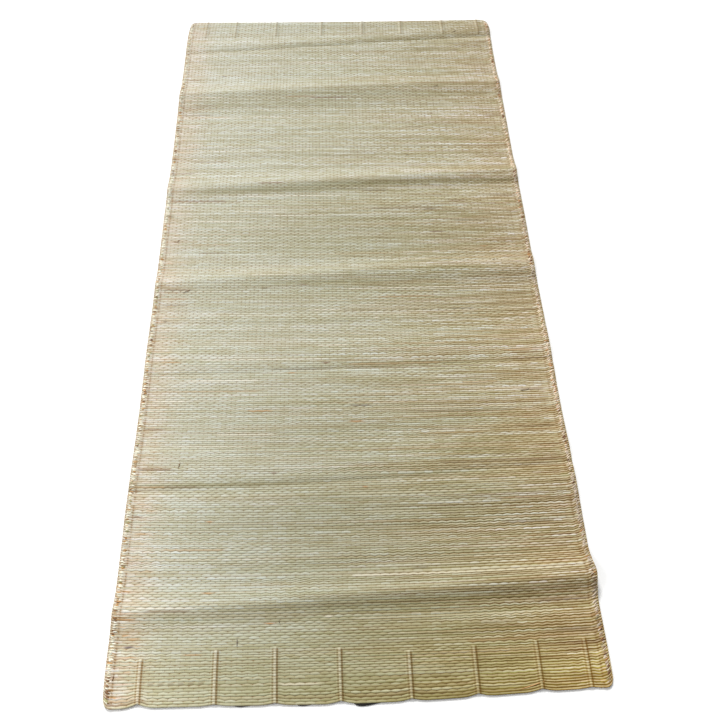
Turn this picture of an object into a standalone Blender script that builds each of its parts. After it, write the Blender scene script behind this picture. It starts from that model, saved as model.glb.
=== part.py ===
"""Woven sedge sleeping mat, laid out flat with the creases that storage left in it.

Metres, +Z up. The origin is at the centre of the mat's underside. +X runs along the weft from
the left selvedge to the right one, and +Y along the warp from the near end to the far end.
Distances along the mat are counted from the far end.
"""
import bpy
import numpy as np

# Size of the cloth
WIDTH = 0.914
LENGTH = 1.829
THICKNESS = 0.003
# Distance from the far corners to the middle of the whole outline, where the origin is
CENTRE = 0.9184

# Outline: the radius of each corner, and how far the side is drawn in there
CORNER_COLUMNS = ("radius", "inset")
CORNERS = {
    "far_left": (0.022, 0.0050),
    "far_right": (0.028, 0.0000),
    "near_left": (0.016, 0.0035),
    "near_right": (0.016, 0.0015),
}
CORNER_REACH = 0.110
SIDE_WOBBLE = 0.0012
SIDE_WAVES = 5
# How far from an end the weft still bends along its outline
END_REACH = 0.045

# Selvedge, where the weft ends are folded back into the cloth
SELVEDGE_WIDTH = 0.020
SELVEDGE_RISE = 0.0008

# Warp tails turned back into the cloth at both ends, under the weft
TAIL_HALF_WIDTH = 0.0032
TAIL_RISE = 0.0016
FAR_TAIL_LENGTH = 0.065
TAIL_TIP = 0.005
NOTCH_REACH = 0.032

# Share of the width from the left selvedge at the far and the near end, how far each tail pulls
# the near edge in, and its length there
TAIL_COLUMNS = ("far_share", "near_share", "near_notch", "near_length")
TAILS = (
    (0.058, 0.067, 0.0070, 0.075),
    (0.155, 0.214, 0.0030, 0.085),
    (0.288, 0.332, 0.0035, 0.085),
    (0.438, 0.460, 0.0050, 0.080),
    (0.573, 0.598, 0.0040, 0.070),
    (0.702, 0.729, 0.0050, 0.075),
    (0.842, 0.856, 0.0050, 0.080),
    (0.961, 0.954, 0.0025, 0.080),
)
FAR_NOTCH = 0.0012

# The far edge sags inwards between its corners, and the near edge bows out
FAR_SAG = 0.0035
NEAR_BOW = 0.0075
NEAR_BOW_LEAN = 1.15

# Raised creases: where the crest crosses the left edge, the middle and the right edge, how high
# it stands there, and how far its flanks reach towards the far and the near end
CREST_COLUMNS = (
    "left", "middle", "right",
    "high_left", "high_middle", "high_right",
    "far_reach", "near_reach",
)
CRESTS = {
    "second": (0.316, 0.293, 0.277, 0.006, 0.008, 0.006, 0.055, 0.095),
    "third": (0.657, 0.636, 0.614, 0.005, 0.007, 0.008, 0.060, 0.060),
    "fourth": (0.948, 0.924, 0.906, 0.005, 0.005, 0.006, 0.045, 0.080),
    "seventh": (1.672, 1.655, 1.633, 0.006, 0.008, 0.022, 0.055, 0.060),
}
CREST_ROUNDING = 0.004
CREST_ROUNDING_PER_HEIGHT = 0.5

# Sunk creases: where the line that touches the surface below crosses the left edge, the middle and
# the right edge, and how high and how far the cloth swells on either side of it
SUNK_COLUMNS = (
    "left", "middle", "right",
    "far_swell_left", "far_swell_right", "far_reach",
    "near_swell_left", "near_swell_right", "near_reach",
)
SUNK = {
    "first": (0.144, 0.110, 0.076, 0.0015, 0.0050, 0.072, 0.0008, 0.0015, 0.060),
    "fifth": (1.190, 1.181, 1.174, 0.0012, 0.0028, 0.100, 0.0006, 0.0014, 0.060),
    "sixth": (1.446, 1.436, 1.410, 0.0010, 0.0030, 0.110, 0.0015, 0.0030, 0.110),
}
# A swell is highest at a third of its reach, where u * (1 - u)**2 is 4/27
SWELL_SCALE = 27 / 4

# Rows of points between the crest and the foot of each flank, as shares of its reach
FLANK_STEPS = (0.18, 0.50, 1.0)
SWELL_STEPS = (0.33, 1.0)
# Rows of points near the two ends, as distances from them
FAR_ROWS = (0, 0.030, 0.050, FAR_TAIL_LENGTH, FAR_TAIL_LENGTH + TAIL_TIP)
NEAR_ROWS = (0.090, 0.080, 0.070, 0.035, 0.010, 0)
# Columns of points near the two sides, as distances from them
SIDE_COLUMNS = (0, 0.002, 0.007, 0.013, SELVEDGE_WIDTH, 0.028)


def across(left, middle, right, share):
    """A smooth line across the mat: the parabola through its left, middle and right values."""
    s = 2 * share - 1
    return middle + s * (right - left) / 2 + s ** 2 * ((left + right) / 2 - middle)


def crest_height(share, distance):
    """Sum of the raised creases: on each flank height * (1 - d / foot)**2, rounded at the top.

    The rounding takes d as sqrt(offset**2 + rounding**2) - rounding, and foot as d at the reach.
    """
    total = np.zeros(np.broadcast(share, distance).shape)
    for row in CRESTS.values():
        c = dict(zip(CREST_COLUMNS, row))
        offset = distance - across(c["left"], c["middle"], c["right"], share)
        high = across(c["high_left"], c["high_middle"], c["high_right"], share)
        rounding = CREST_ROUNDING + CREST_ROUNDING_PER_HEIGHT * high
        reach = np.where(offset < 0, c["far_reach"], c["near_reach"])
        away = np.hypot(offset, rounding) - rounding
        foot = np.hypot(reach, rounding) - rounding
        total = total + high * np.clip(1 - away / foot, 0, 1) ** 2
    return total


def sunk_height(share, distance):
    """Sum of the swells beside the sunk creases: swell * 27/4 * u * (1 - u)**2, u = d / reach."""
    total = np.zeros(np.broadcast(share, distance).shape)
    for row in SUNK.values():
        c = dict(zip(SUNK_COLUMNS, row))
        offset = distance - across(c["left"], c["middle"], c["right"], share)
        far_swell = c["far_swell_left"] + (c["far_swell_right"] - c["far_swell_left"]) * share
        near_swell = c["near_swell_left"] + (c["near_swell_right"] - c["near_swell_left"]) * share
        swell = np.where(offset < 0, far_swell, near_swell)
        reach = np.where(offset < 0, c["far_reach"], c["near_reach"])
        u = np.clip(np.abs(offset) / reach, 0, 1)
        total = total + swell * SWELL_SCALE * u * (1 - u) ** 2
    return total


def fold_height(share, distance):
    """Height of the mat's underside over the surface it lies on."""
    return crest_height(share, distance) + sunk_height(share, distance)


def tail_share(tail, distance):
    """Share of the width of one far tail, then of the near tail that its columns lead to."""
    c = dict(zip(TAIL_COLUMNS, tail))
    between = LENGTH - FAR_ROWS[-1] - NEAR_ROWS[0]
    passed = np.clip((distance - FAR_ROWS[-1]) / between, 0, 1)
    return c["far_share"] + (c["near_share"] - c["far_share"]) * passed


def tail_rise(share, distance):
    """Raised tails: a roof over each turned-back warp, falling to nothing at its tip."""
    from_near = LENGTH - distance
    far = np.clip((FAR_TAIL_LENGTH + TAIL_TIP - distance) / TAIL_TIP, 0, 1)
    total = np.zeros(np.broadcast(share, distance).shape)
    for tail in TAILS:
        near_length = dict(zip(TAIL_COLUMNS, tail))["near_length"]
        near = np.clip((near_length + TAIL_TIP - from_near) / TAIL_TIP, 0, 1)
        aside = np.abs(share - tail_share(tail, distance)) * WIDTH / TAIL_HALF_WIDTH
        total = np.maximum(total, TAIL_RISE * np.clip(1 - aside, 0, 1) * np.maximum(near, far))
    return total


def selvedge_rise(share):
    """The thicker selvedge: a low rounded welt over each folded-back edge."""
    from_edge = np.minimum(share, 1 - share) * WIDTH
    inside = np.clip(from_edge / SELVEDGE_WIDTH, 0, 1)
    return SELVEDGE_RISE * np.sin(np.pi * inside)


def corner_cut(from_edge, radius):
    """How far a quarter circle pulls an end back, at a distance from the side."""
    inside = np.clip(radius - from_edge, 0, radius)
    return radius - np.sqrt(radius ** 2 - inside ** 2)


def end_cut(share, near_end):
    """How far one end lies inside the full length: rounded corners, a notch at each tail, the bow."""
    end = "near" if near_end else "far"
    left, right = [dict(zip(CORNER_COLUMNS, CORNERS[f"{end}_{side}"])) for side in ("left", "right")]
    cut = corner_cut(share * WIDTH, left["radius"]) + corner_cut((1 - share) * WIDTH, right["radius"])
    if near_end:
        cut = cut - NEAR_BOW * np.sin(np.pi * share ** NEAR_BOW_LEAN) ** 2
    else:
        cut = cut + FAR_SAG * np.sin(np.pi * share)
    for tail in TAILS:
        c = dict(zip(TAIL_COLUMNS, tail))
        centre = c["near_share"] if near_end else c["far_share"]
        depth = c["near_notch"] if near_end else FAR_NOTCH
        aside = np.abs(share - centre) * WIDTH
        cut = cut + depth * np.clip(1 - aside / NOTCH_REACH, 0, 1) ** 2
    return cut


def side_inset(side, distance):
    """How far one side is drawn in: inset * (1 - d / reach)**2 from each of its corners."""
    far = dict(zip(CORNER_COLUMNS, CORNERS["far_" + side]))["inset"]
    near = dict(zip(CORNER_COLUMNS, CORNERS["near_" + side]))["inset"]
    at_far = np.clip(1 - distance / CORNER_REACH, 0, 1) ** 2
    at_near = np.clip(1 - (LENGTH - distance) / CORNER_REACH, 0, 1) ** 2
    return far * at_far + near * at_near


def plan(share, distance):
    """Plan position: the ends are drawn in by their cut, fading with distance, and the sides wave."""
    far = np.clip(1 - distance / END_REACH, 0, 1)
    near = np.clip(1 - (LENGTH - distance) / END_REACH, 0, 1)
    pulled = distance + end_cut(share, False) * far - end_cut(share, True) * near
    side = np.cos(2 * np.pi * SIDE_WAVES * distance / LENGTH) - 1
    x = (share - 0.5) * (WIDTH + SIDE_WOBBLE * side)
    x = x + side_inset("left", distance) * (1 - share) - side_inset("right", distance) * share
    return x, CENTRE - pulled


def mat_columns(distance):
    """Shares of the width for the columns of points: corners, tails and the bays between them."""
    left_edge = np.array(SIDE_COLUMNS) / WIDTH
    tails = [tail_share(tail, distance) for tail in TAILS]
    half = TAIL_HALF_WIDTH / WIDTH
    shares = list(left_edge) + list(1 - left_edge)
    for centre in tails:
        shares += [centre - half, centre, centre + half]
    for here, following in zip(tails[:-1], tails[1:]):
        shares.append((here + following) / 2)
    return np.sort(np.array(shares))


def mat_rows():
    """Lines across the mat, each as its left, middle and right distance from the far end.

    The rows follow the creases, so that a crest or a sunk line is an edge of the mesh. The first
    sunk line runs so close to the far tails that the swell on its far side keeps to their rows.
    """
    rows = [(value,) * 3 for value in FAR_ROWS]
    creases = []
    for row in CRESTS.values():
        c = dict(zip(CREST_COLUMNS, row))
        before = [-c["far_reach"] * step for step in FLANK_STEPS]
        after = [c["near_reach"] * step for step in FLANK_STEPS]
        creases.append((row[:3], sorted(before) + [0] + after))
    for name, row in SUNK.items():
        c = dict(zip(SUNK_COLUMNS, row))
        before = [] if name == "first" else [-c["far_reach"] * step for step in SWELL_STEPS]
        after = [c["near_reach"] * step for step in SWELL_STEPS]
        creases.append((row[:3], sorted(before) + [0] + after))
    for line, offsets in sorted(creases):
        for offset in offsets:
            rows.append(tuple(value + offset for value in line))
    rows += [(LENGTH - value,) * 3 for value in NEAR_ROWS]
    return rows


def build_mat():
    """The whole mat as one closed sheet: a grid for the top, the same grid below, and the rim."""
    rows = mat_rows()
    share = np.array([mat_columns(row[1]) for row in rows])
    distance = np.array([across(*row, share[i]) for i, row in enumerate(rows)])
    x, y = plan(share, distance)
    under = fold_height(share, distance)
    top = under + THICKNESS + tail_rise(share, distance) + selvedge_rise(share)
    points = np.concatenate([np.stack([x, y, z], axis=2).reshape(-1, 3) for z in (top, under)])

    index = np.arange(share.size).reshape(share.shape)
    corners = (index[:-1, :-1], index[1:, :-1], index[1:, 1:], index[:-1, 1:])
    upper = np.stack(corners, axis=2).reshape(-1, 4)
    lower = upper[:, ::-1] + share.size
    rim = np.concatenate([index[0, ::-1], index[1:, 0], index[-1, 1:], index[-2:0:-1, -1]])
    following = np.roll(rim, -1)
    wall = np.stack([rim, rim + share.size, following + share.size, following], axis=1)

    mesh = bpy.data.meshes.new("mat")
    mesh.from_pydata(points.tolist(), [], np.concatenate([upper, lower, wall]).tolist())
    mesh.validate()
    mat = bpy.data.objects.new("mat", mesh)
    bpy.context.collection.objects.link(mat)
    mesh.shade_smooth()
    mesh.set_sharp_from_angle(angle=np.radians(40))
    return mat


def sedge_material():
    """Dry pale green-beige sedge stems."""
    material = bpy.data.materials.new("sedge")
    material.use_nodes = True
    shader = material.node_tree.nodes["Principled BSDF"]
    shader.inputs["Base Color"].default_value = (0.49, 0.45, 0.31, 1)
    shader.inputs["Roughness"].default_value = 0.62
    shader.inputs["Metallic"].default_value = 0
    return material


for leftover in list(bpy.data.objects):
    bpy.data.objects.remove(leftover, do_unlink=True)

build_mat().data.materials.append(sedge_material())
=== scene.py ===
"""Woven sedge sleeping mat, laid flat, with the creases that storage left in it.

Metres, +Z up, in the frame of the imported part. The origin is at the centre of the mat's underside,
+X runs along the weft to the right selvedge and +Y along the warp to the far end. Distances along
the mat are counted from the far end. A place on the weave is a warp number, counted from the left
selvedge, and a rib number, counted from the far end.
"""
import bpy
import numpy as np
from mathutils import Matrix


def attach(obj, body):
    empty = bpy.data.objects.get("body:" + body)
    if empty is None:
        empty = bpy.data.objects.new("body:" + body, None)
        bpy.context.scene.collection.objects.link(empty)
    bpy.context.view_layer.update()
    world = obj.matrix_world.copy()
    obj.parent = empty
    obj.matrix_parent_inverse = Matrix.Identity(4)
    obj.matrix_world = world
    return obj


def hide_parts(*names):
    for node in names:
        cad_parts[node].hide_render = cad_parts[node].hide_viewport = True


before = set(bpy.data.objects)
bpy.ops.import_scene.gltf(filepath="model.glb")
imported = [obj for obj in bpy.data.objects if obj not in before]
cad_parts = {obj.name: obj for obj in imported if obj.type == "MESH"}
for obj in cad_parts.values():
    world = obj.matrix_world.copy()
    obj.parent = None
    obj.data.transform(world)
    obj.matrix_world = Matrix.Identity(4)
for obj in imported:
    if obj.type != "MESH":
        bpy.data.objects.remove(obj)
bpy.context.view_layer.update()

# Size of the cloth
WIDTH = 0.914
LENGTH = 1.829
THICKNESS = 0.003
# Distance from the far corners to the middle of the whole outline, where the origin is
CENTRE = 0.9184

# Outline: the radius of each corner, and how far the side is drawn in there
CORNER_COLUMNS = ("radius", "inset")
CORNERS = {
    "far_left": (0.022, 0.0050),
    "far_right": (0.028, 0.0000),
    "near_left": (0.016, 0.0035),
    "near_right": (0.016, 0.0015),
}
CORNER_REACH = 0.110
SIDE_WOBBLE = 0.0012
SIDE_WAVES = 5
END_REACH = 0.045

# Selvedge
SELVEDGE_WIDTH = 0.020
SELVEDGE_RISE = 0.0008

# Warp tails turned back into the cloth
TAIL_RISE = 0.0016
FAR_TAIL_LENGTH = 0.065
TAIL_TIP = 0.005
NOTCH_REACH = 0.032
TAIL_COLUMNS = ("far_share", "near_share", "near_notch", "near_length")
TAILS = (
    (0.058, 0.067, 0.0070, 0.075),
    (0.155, 0.214, 0.0030, 0.085),
    (0.288, 0.332, 0.0035, 0.085),
    (0.438, 0.460, 0.0050, 0.080),
    (0.573, 0.598, 0.0040, 0.070),
    (0.702, 0.729, 0.0050, 0.075),
    (0.842, 0.856, 0.0050, 0.080),
    (0.961, 0.954, 0.0025, 0.080),
)
FAR_NOTCH = 0.0012

# The far edge sags inwards between its corners, and the near edge bows out
FAR_SAG = 0.0035
NEAR_BOW = 0.0075
NEAR_BOW_LEAN = 1.15

# Raised creases
CREST_COLUMNS = (
    "left", "middle", "right",
    "high_left", "high_middle", "high_right",
    "far_reach", "near_reach",
)
CRESTS = {
    "second": (0.316, 0.293, 0.277, 0.006, 0.008, 0.006, 0.055, 0.095),
    "third": (0.657, 0.636, 0.614, 0.005, 0.007, 0.008, 0.060, 0.060),
    "fourth": (0.948, 0.924, 0.906, 0.005, 0.005, 0.006, 0.045, 0.080),
    "seventh": (1.672, 1.655, 1.633, 0.006, 0.008, 0.022, 0.055, 0.060),
}
CREST_ROUNDING = 0.004
CREST_ROUNDING_PER_HEIGHT = 0.5

# Sunk creases
SUNK_COLUMNS = (
    "left", "middle", "right",
    "far_swell_left", "far_swell_right", "far_reach",
    "near_swell_left", "near_swell_right", "near_reach",
)
SUNK = {
    "first": (0.144, 0.110, 0.076, 0.0015, 0.0050, 0.072, 0.0008, 0.0015, 0.060),
    "fifth": (1.190, 1.181, 1.174, 0.0012, 0.0028, 0.100, 0.0006, 0.0014, 0.060),
    "sixth": (1.446, 1.436, 1.410, 0.0010, 0.0030, 0.110, 0.0015, 0.0030, 0.110),
}
SWELL_SCALE = 27 / 4

# The weave: warps across the width, ribs of packed weft along the length, the bands of ribs that the
# mat is made in, and how much the ribs' thickness differs
WARPS = 100
SELVEDGE_WARPS = 2.5
RIBS = 405
BANDS = 5
PITCH_SPREAD = 0.13
PITCH_LIMIT = 2.2
# How far the line between two ribs swings at each warp: where the ribs are chains of lenses, where
# they wave together, and each by itself
NET_SWING = 0.00035
NET_CHANGE = 0.5
WAVE_SWING = 0.0007
WAVE_GAIN = 1.7
MIX_REACH = 0.25
OWN_SWING = 0.0002
# How far the lines drift, and how near to an end the drift, the swing and the slant fade
DRIFT = 0.0006
DRIFT_CALM = 0.110
SWING_CALM = 0.010
SLANT_CALM = 0.020
# How far the ribs slant towards the far end on the left and on the right selvedge
SELVEDGE_SLANT = (0.0012, 0.0050)

# Chance over the weave: a seed, and the steps of the random surface in warps and in ribs
NOISES = {
    "net": (1, 12, 5),
    "wave": (2, 15, 9),
    "drift": (3, 33, 52),
    "mix": (4, 19, 13),
    "dash": (5, 1.4, 1),
    "row": (6, 30, 1),
    "own": (7, 9, 1),
    "patch": (9, 0.7, 1),
}
NOISE_TABLE = (64, 512)
# Keeps a point on a line between ribs from falling to the rib before it
TINY = 1e-6
# Seeds of the other draws
PITCH_SEED = 11
FLOAT_SEED = 21
PIT_SEED = 31
END_SEED = 41
END_PATCH_SEED = 51

# Bends of the ribs: how much farther from the far end the middle and the right lie than the left
BEND_COLUMNS = ("distance", "middle", "right")
BENDS = (
    (0.000, 0.0000, 0.0000),
    (0.165, -0.0039, -0.0059),
    (0.480, -0.0015, 0.0040),
    (0.800, 0.0060, 0.0045),
    (1.080, 0.0080, 0.0060),
    (1.310, 0.0091, 0.0109),
    (1.530, 0.0125, 0.0110),
    (1.750, 0.0090, 0.0062),
    (1.829, 0.0000, 0.0000),
)

# Relief of the floats: how high they stand, how much of it is left where they dive, how much higher
# a thick one stands, how much they and the ribs differ, and the lowest and the highest share
TOP_RELIEF = 0.00060
UNDER_RELIEF = 0.0005
SEAM_SHARE = 0.70
LIFT = 0.8
FLOAT_SPREAD = 0.05
RIB_SPREAD = 0.16
FLOAT_RANGE = (0.5, 1.45)
# How far the ribs' ends bulge at the sides, what part of the arch lies inside, and their reach in warps
SIDE_BULGE = 0.0007
SIDE_INSIDE = 0.6
SIDE_REACH = 0.4
# How steeply a tail's ridge falls, as a share for each warp
TAIL_SLOPE = 1.25

# How dark the painted shade in the troughs is at the left, the middle and the right, and how much
# it differs there from row to row, from float to float, and between the warps, at the left and at
# the right
TROUGH_SHADING_ACROSS = (0.92, 1.12, 2.38)
TROUGH_SHADING_MEAN = 0.50
TROUGH_SHADING_MOST = 1.7
TROUGH_SHADING_ROWS = (0.10, 0.26)
TROUGH_SHADING_FLOATS = 0.14
TROUGH_SHADING_DASHES = (0.34, 0.08)
# How much darker the troughs' painted shade is at the near end than at the far end, at the left and
# at the right
TROUGH_SHADING_GROWTH = (0.25, 0.40)
# How much the pits lighten the painted shade of the troughs beside them, and how dark the outermost
# stretch's painted shade is at least, each with the distances in warps between which it comes in
BESIDE_PITS, BESIDE_PITS_REACH = 0.65, (1.6, 0.6)
OUTERMOST, OUTERMOST_REACH = 0.8, (1.6, 0.2)
# How low a thin float lies, for each share that it is thinner
LOW_GAIN = 1.7

# Pits of the selvedges: how many warps inside the left and the right edge they run, how wide and how
# short they are, the share of ribs without one, and their depth at the far and the near end
PIT_WARPS = (2.0, 2.333)
PIT_REACH = (0.45, 0.05)
PIT_SHORTNESS = 1.9
PITS_MISSING = 0.25
PIT_DEPTH = (0.35, 0.95)
# Dark patches between the stem ends: where they come in, their mean depth and how much it differs
PATCH_REACH = (2.5, 1.9)
PATCH_DEPTH = 0.12
PATCH_CHANGE = 0.30

# How much the stems differ at the left, the middle and the right, how much that grows towards the
# near end at the right, and the share of the length at which it has these values
STREAKS_ACROSS = (0.40, 0.55, 1.55)
STREAKS_GROWTH = 0.6
STREAKS_PLACE = 0.4

# What the underside has of these, an even painted shade of its troughs among them: even and plain
UNDER_TROUGH_SHADING = 0.6
UNDER_LOW = 0.2
UNDER_STREAKS = 0.8

# Stem ends folded back on the selvedges: how many there are, at which shares of their length they
# have points, between which distances from the side they lie, their width, height and lift, and how
# far they slant at the left and at the right
ENDS_PER_RIB = 1.7
END_STEPS = (0, 0.15, 0.5, 0.85, 1.0)
END_INNER = 0.0152
END_OUTER = 0.0004
END_WIDTH = 0.0031
END_HEIGHT = 0.0007
END_LIFT = 0.0008
END_SLANT = (0.0018, 0.0060)
# How blunt their tips are, how near to the mat's far and near end they lie at the most, and between
# which distances from the far end their slant comes in
END_BLUNT = 0.12
END_BLUNT_POWER = 0.6
END_MARGIN = (0.012, 0.008)
END_CALM = (0.010, 0.030)
# Between which numbers each of these differs by chance
END_CHANCE = {
    "level": (-0.3, 0.3),
    "inner": (0.60, 1.0),
    "length": (0.65, 1.0),
    "slant": (0.3, 1.4),
    "size": (0.6, 1.15),
    "light": (0.8, 1.1),
}
# How strongly their dark tones keep to patches of this length, and to the last stretch of the side
END_PATCH, END_PATCH_LENGTH = 0.22, 0.03
END_CORNER, END_CORNER_REACH = 0.4, (0.06, 0.01)

# A painted shadow where the near edge gapes, a thin dark sheet: from and to which share of the width,
# how far the shadow shows, and how dark it is. Its height, how far it stands clear of the floor,
# what share of its reach lies on either side of its middle, and its tint
EDGE_SHADOW_COLUMNS = ("start", "stop", "reach", "grey")
EDGE_SHADOWS = (
    (0.2537, 0.2863, 0.0020, 0.050),
    (0.3746, 0.4054, 0.0020, 0.050),
    (0.4844, 0.5384, 0.0046, 0.012),
)
EDGE_SHADOW_HEIGHT = 0.0009
EDGE_SHADOW_CLEAR = 0.0002
EDGE_SHADOW_SHARE = 0.7
EDGE_SHADOW_TINT = (1, 0.8, 0.6)

# How the cloth darkens and yellows, as shares of its red, green and blue, a painted falloff of light
# towards the right and the near end with a yellowing hue: along its middle line at the far end, how
# much more at the near end, and at the right as a multiple of that
SHADE_FAR = (0.080, 0.085, 0.160)
SHADE_NEAR = (0.29, 0.30, 0.34)
SHADE_LEFT = -0.18
SHADE_RIGHT = (0.78, 1.05, 1.57)
SHADE_POWER = 2.2
# How much darker and yellower it is again at the near edge, and how far that reaches
SHADE_EDGE = (0.00, 0.03, 0.18)
SHADE_EDGE_REACH = 0.180

# Painted shade on the crease lines and in broad bands across the mat, with painted light where the
# darkness is less than nothing: where each crosses the left edge, the middle and the right edge, how
# much darker it is there, or less than nothing where it is lighter, and half its width. Red, green
# and blue darken by different shares
SHADED_BAND_COLUMNS = ("left", "middle", "right", "dark_left", "dark_middle", "dark_right", "half_width")
SHADED_BAND_HUE = (0.92, 1.00, 1.40)
SHADED_BANDS = (
    (0.040, 0.045, 0.045, 0.05, 0.08, 0.18, 0.055),
    (0.139, 0.103, 0.068, 0.10, 0.16, 0.16, 0.012),
    (0.175, 0.140, 0.100, 0.00, 0.00, -0.20, 0.015),
    (0.350, 0.333, 0.318, 0.19, 0.23, 0.15, 0.052),
    (0.680, 0.656, 0.647, 0.13, 0.42, 0.42, 0.019),
    (0.790, 0.790, 0.790, 0.02, 0.19, 0.17, 0.130),
    (0.968, 0.948, 0.946, 0.08, 0.14, 0.40, 0.028),
    (0.970, 0.970, 0.970, 0.00, 0.09, 0.17, 0.090),
    (1.187, 1.177, 1.168, 0.04, 0.12, 0.12, 0.010),
    (1.330, 1.330, 1.330, 0.00, 0.10, 0.04, 0.120),
    (1.437, 1.433, 1.410, 0.36, 0.26, 0.10, 0.009),
    (1.500, 1.500, 1.500, -0.02, 0.21, 0.30, 0.110),
    (1.605, 1.605, 1.600, -0.06, 0.12, 0.16, 0.050),
    (1.660, 1.642, 1.618, 0.00, 0.04, 0.36, 0.020),
    (1.690, 1.673, 1.660, 0.04, 0.24, 0.14, 0.019),
    (1.745, 1.738, 1.724, 0.00, 0.12, 0.26, 0.042),
    (1.800, 1.800, 1.800, -0.10, 0.18, -0.05, 0.050),
)

# Single stems and floats that stand out, by their tones, each with its stretch of the width in
# thousandths, its distance in millimetres and how much it covers in hundredths
MARK_UNITS = (1000, 1000, 1000, 100)
MARK_COLUMNS = ("start", "stop", "distance", "strength")
MARKS = {
    "cream": (
        (600, 655, 172, 70), (665, 850, 200, 50), (650, 850, 184, 40), (820, 930, 296, 70),
        (70, 135, 328, 80), (630, 720, 329, 60), (600, 1000, 366, 50), (15, 50, 356, 80), (15, 45, 402, 90),
        (780, 860, 556, 80), (110, 165, 570, 60), (120, 200, 584, 60), (730, 770, 613, 80),
        (230, 500, 687, 80), (620, 960, 670, 70), (200, 340, 736, 70), (300, 450, 749, 80),
        (740, 810, 757, 70), (60, 225, 766, 80), (200, 330, 782, 70), (720, 840, 839, 80),
        (850, 940, 900, 70), (250, 500, 930, 60), (920, 985, 953, 60), (500, 970, 972, 80),
        (500, 590, 1018, 70), (400, 480, 1029, 100), (565, 574, 1052, 100), (860, 920, 1092, 80),
        (420, 490, 1121, 80), (140, 440, 1155, 70), (110, 280, 1205, 80), (720, 770, 1224, 70),
        (780, 870, 1246, 50), (40, 110, 1251, 80), (600, 880, 1282, 60), (190, 320, 1332, 70),
        (90, 300, 1356, 60), (750, 980, 1444, 60), (490, 750, 1462, 50), (490, 850, 1504, 40),
        (750, 850, 1575, 70), (490, 930, 1624, 80), (50, 170, 1667, 70), (430, 448, 1695, 100),
        (490, 900, 1699, 60), (540, 720, 1788, 60), (340, 420, 1800, 90), (720, 820, 1813, 70),
    ),
    "brown": (
        (862, 878, 137, 70), (20, 60, 252, 60), (405, 510, 332, 80), (60, 120, 357, 50), (20, 110, 394, 50),
        (930, 985, 412, 50), (765, 775, 397, 70), (220, 255, 452, 50), (70, 170, 566, 50),
        (20, 70, 602, 60), (260, 325, 647, 90), (20, 170, 697, 70), (790, 835, 712, 70),
        (730, 765, 810, 100), (36, 50, 823, 60), (110, 180, 860, 50), (370, 395, 956, 60),
        (30, 100, 968, 70), (30, 90, 1007, 50), (860, 985, 1118, 50), (434, 448, 1165, 100),
        (905, 960, 1245, 80), (20, 65, 1314, 80), (20, 95, 1399, 70), (700, 960, 1407, 50),
        (315, 326, 1413, 80), (0, 160, 1436, 50), (20, 40, 1494, 80), (70, 160, 1671, 60),
        (870, 1000, 1680, 80), (900, 985, 1727, 60), (10, 90, 1824, 50), (4, 30, 1444, 80),
    ),
    "tan": (
        (780, 870, 163, 60), (680, 950, 541, 80), (60, 270, 805, 50),
    ),
    "white dashes": (
        (720, 950, 50, 90), (600, 700, 65, 70), (490, 680, 150, 80), (750, 900, 155, 80),
        (800, 970, 316, 70), (820, 970, 340, 70), (780, 850, 556, 70),
    ),
    "dark dashes": (
        (300, 420, 105, 50), (150, 330, 122, 50), (100, 450, 190, 40), (260, 360, 236, 45),
        (25, 220, 702, 40), (480, 740, 1035, 50), (490, 700, 1181, 50), (85, 205, 1794, 50),
    ),
    "olive": (
        (750, 960, 60, 60), (600, 850, 78, 60), (260, 300, 252, 60),
    ),
    "purple": (
        (128, 140, 238, 70), (36, 52, 1729, 100),
    ),
    "dark": (
        (985, 1000, 285, 80), (985, 1000, 450, 80), (690, 745, 450, 50), (0, 16, 675, 90),
        (550, 620, 675, 60), (570, 770, 733, 50), (720, 750, 734, 80), (10, 30, 745, 80),
        (800, 900, 776, 40), (280, 292, 967, 70), (760, 820, 1033, 60), (35, 45, 1050, 80),
        (0, 12, 1067, 90), (310, 460, 1179, 40), (500, 830, 1181, 40), (500, 545, 1270, 80),
        (660, 880, 1289, 40), (985, 1000, 1347, 100), (0, 12, 1441, 100), (820, 930, 1529, 60),
        (620, 652, 1613, 60),
    ),
    "rust": (
        (330, 420, 331, 50), (30, 120, 372, 40), (60, 160, 403, 40), (0, 22, 417, 90), (985, 1000, 404, 90),
        (80, 190, 836, 40), (740, 840, 834, 40), (860, 880, 856, 90), (0, 25, 906, 80), (20, 90, 992, 60),
        (580, 720, 997, 50), (860, 930, 1085, 40), (880, 985, 1146, 70), (60, 90, 1154, 70),
        (500, 720, 1172, 50), (350, 365, 1189, 90), (765, 850, 1224, 60), (20, 280, 1229, 40),
        (260, 310, 1280, 80), (496, 527, 1306, 100), (660, 800, 1340, 40), (520, 530, 1451, 100),
        (820, 930, 1482, 70), (965, 990, 1480, 100), (183, 196, 1508, 90), (30, 55, 1530, 70),
        (90, 225, 1561, 50), (185, 205, 1644, 80), (0, 50, 1682, 90), (310, 328, 1700, 100),
        (975, 1000, 1708, 100), (720, 980, 1745, 50), (155, 190, 1748, 70), (10, 65, 1816, 50),
        (4, 85, 1438, 60),
    ),
}

# How much of its rib a mark covers on either side of the middle, and how long its soft ends are: in
# warps at most, and as a share of the mark
MARK_HALF = 0.4
MARK_SOFT = 1.0
MARK_SOFT_SHARE = 0.4

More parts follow.
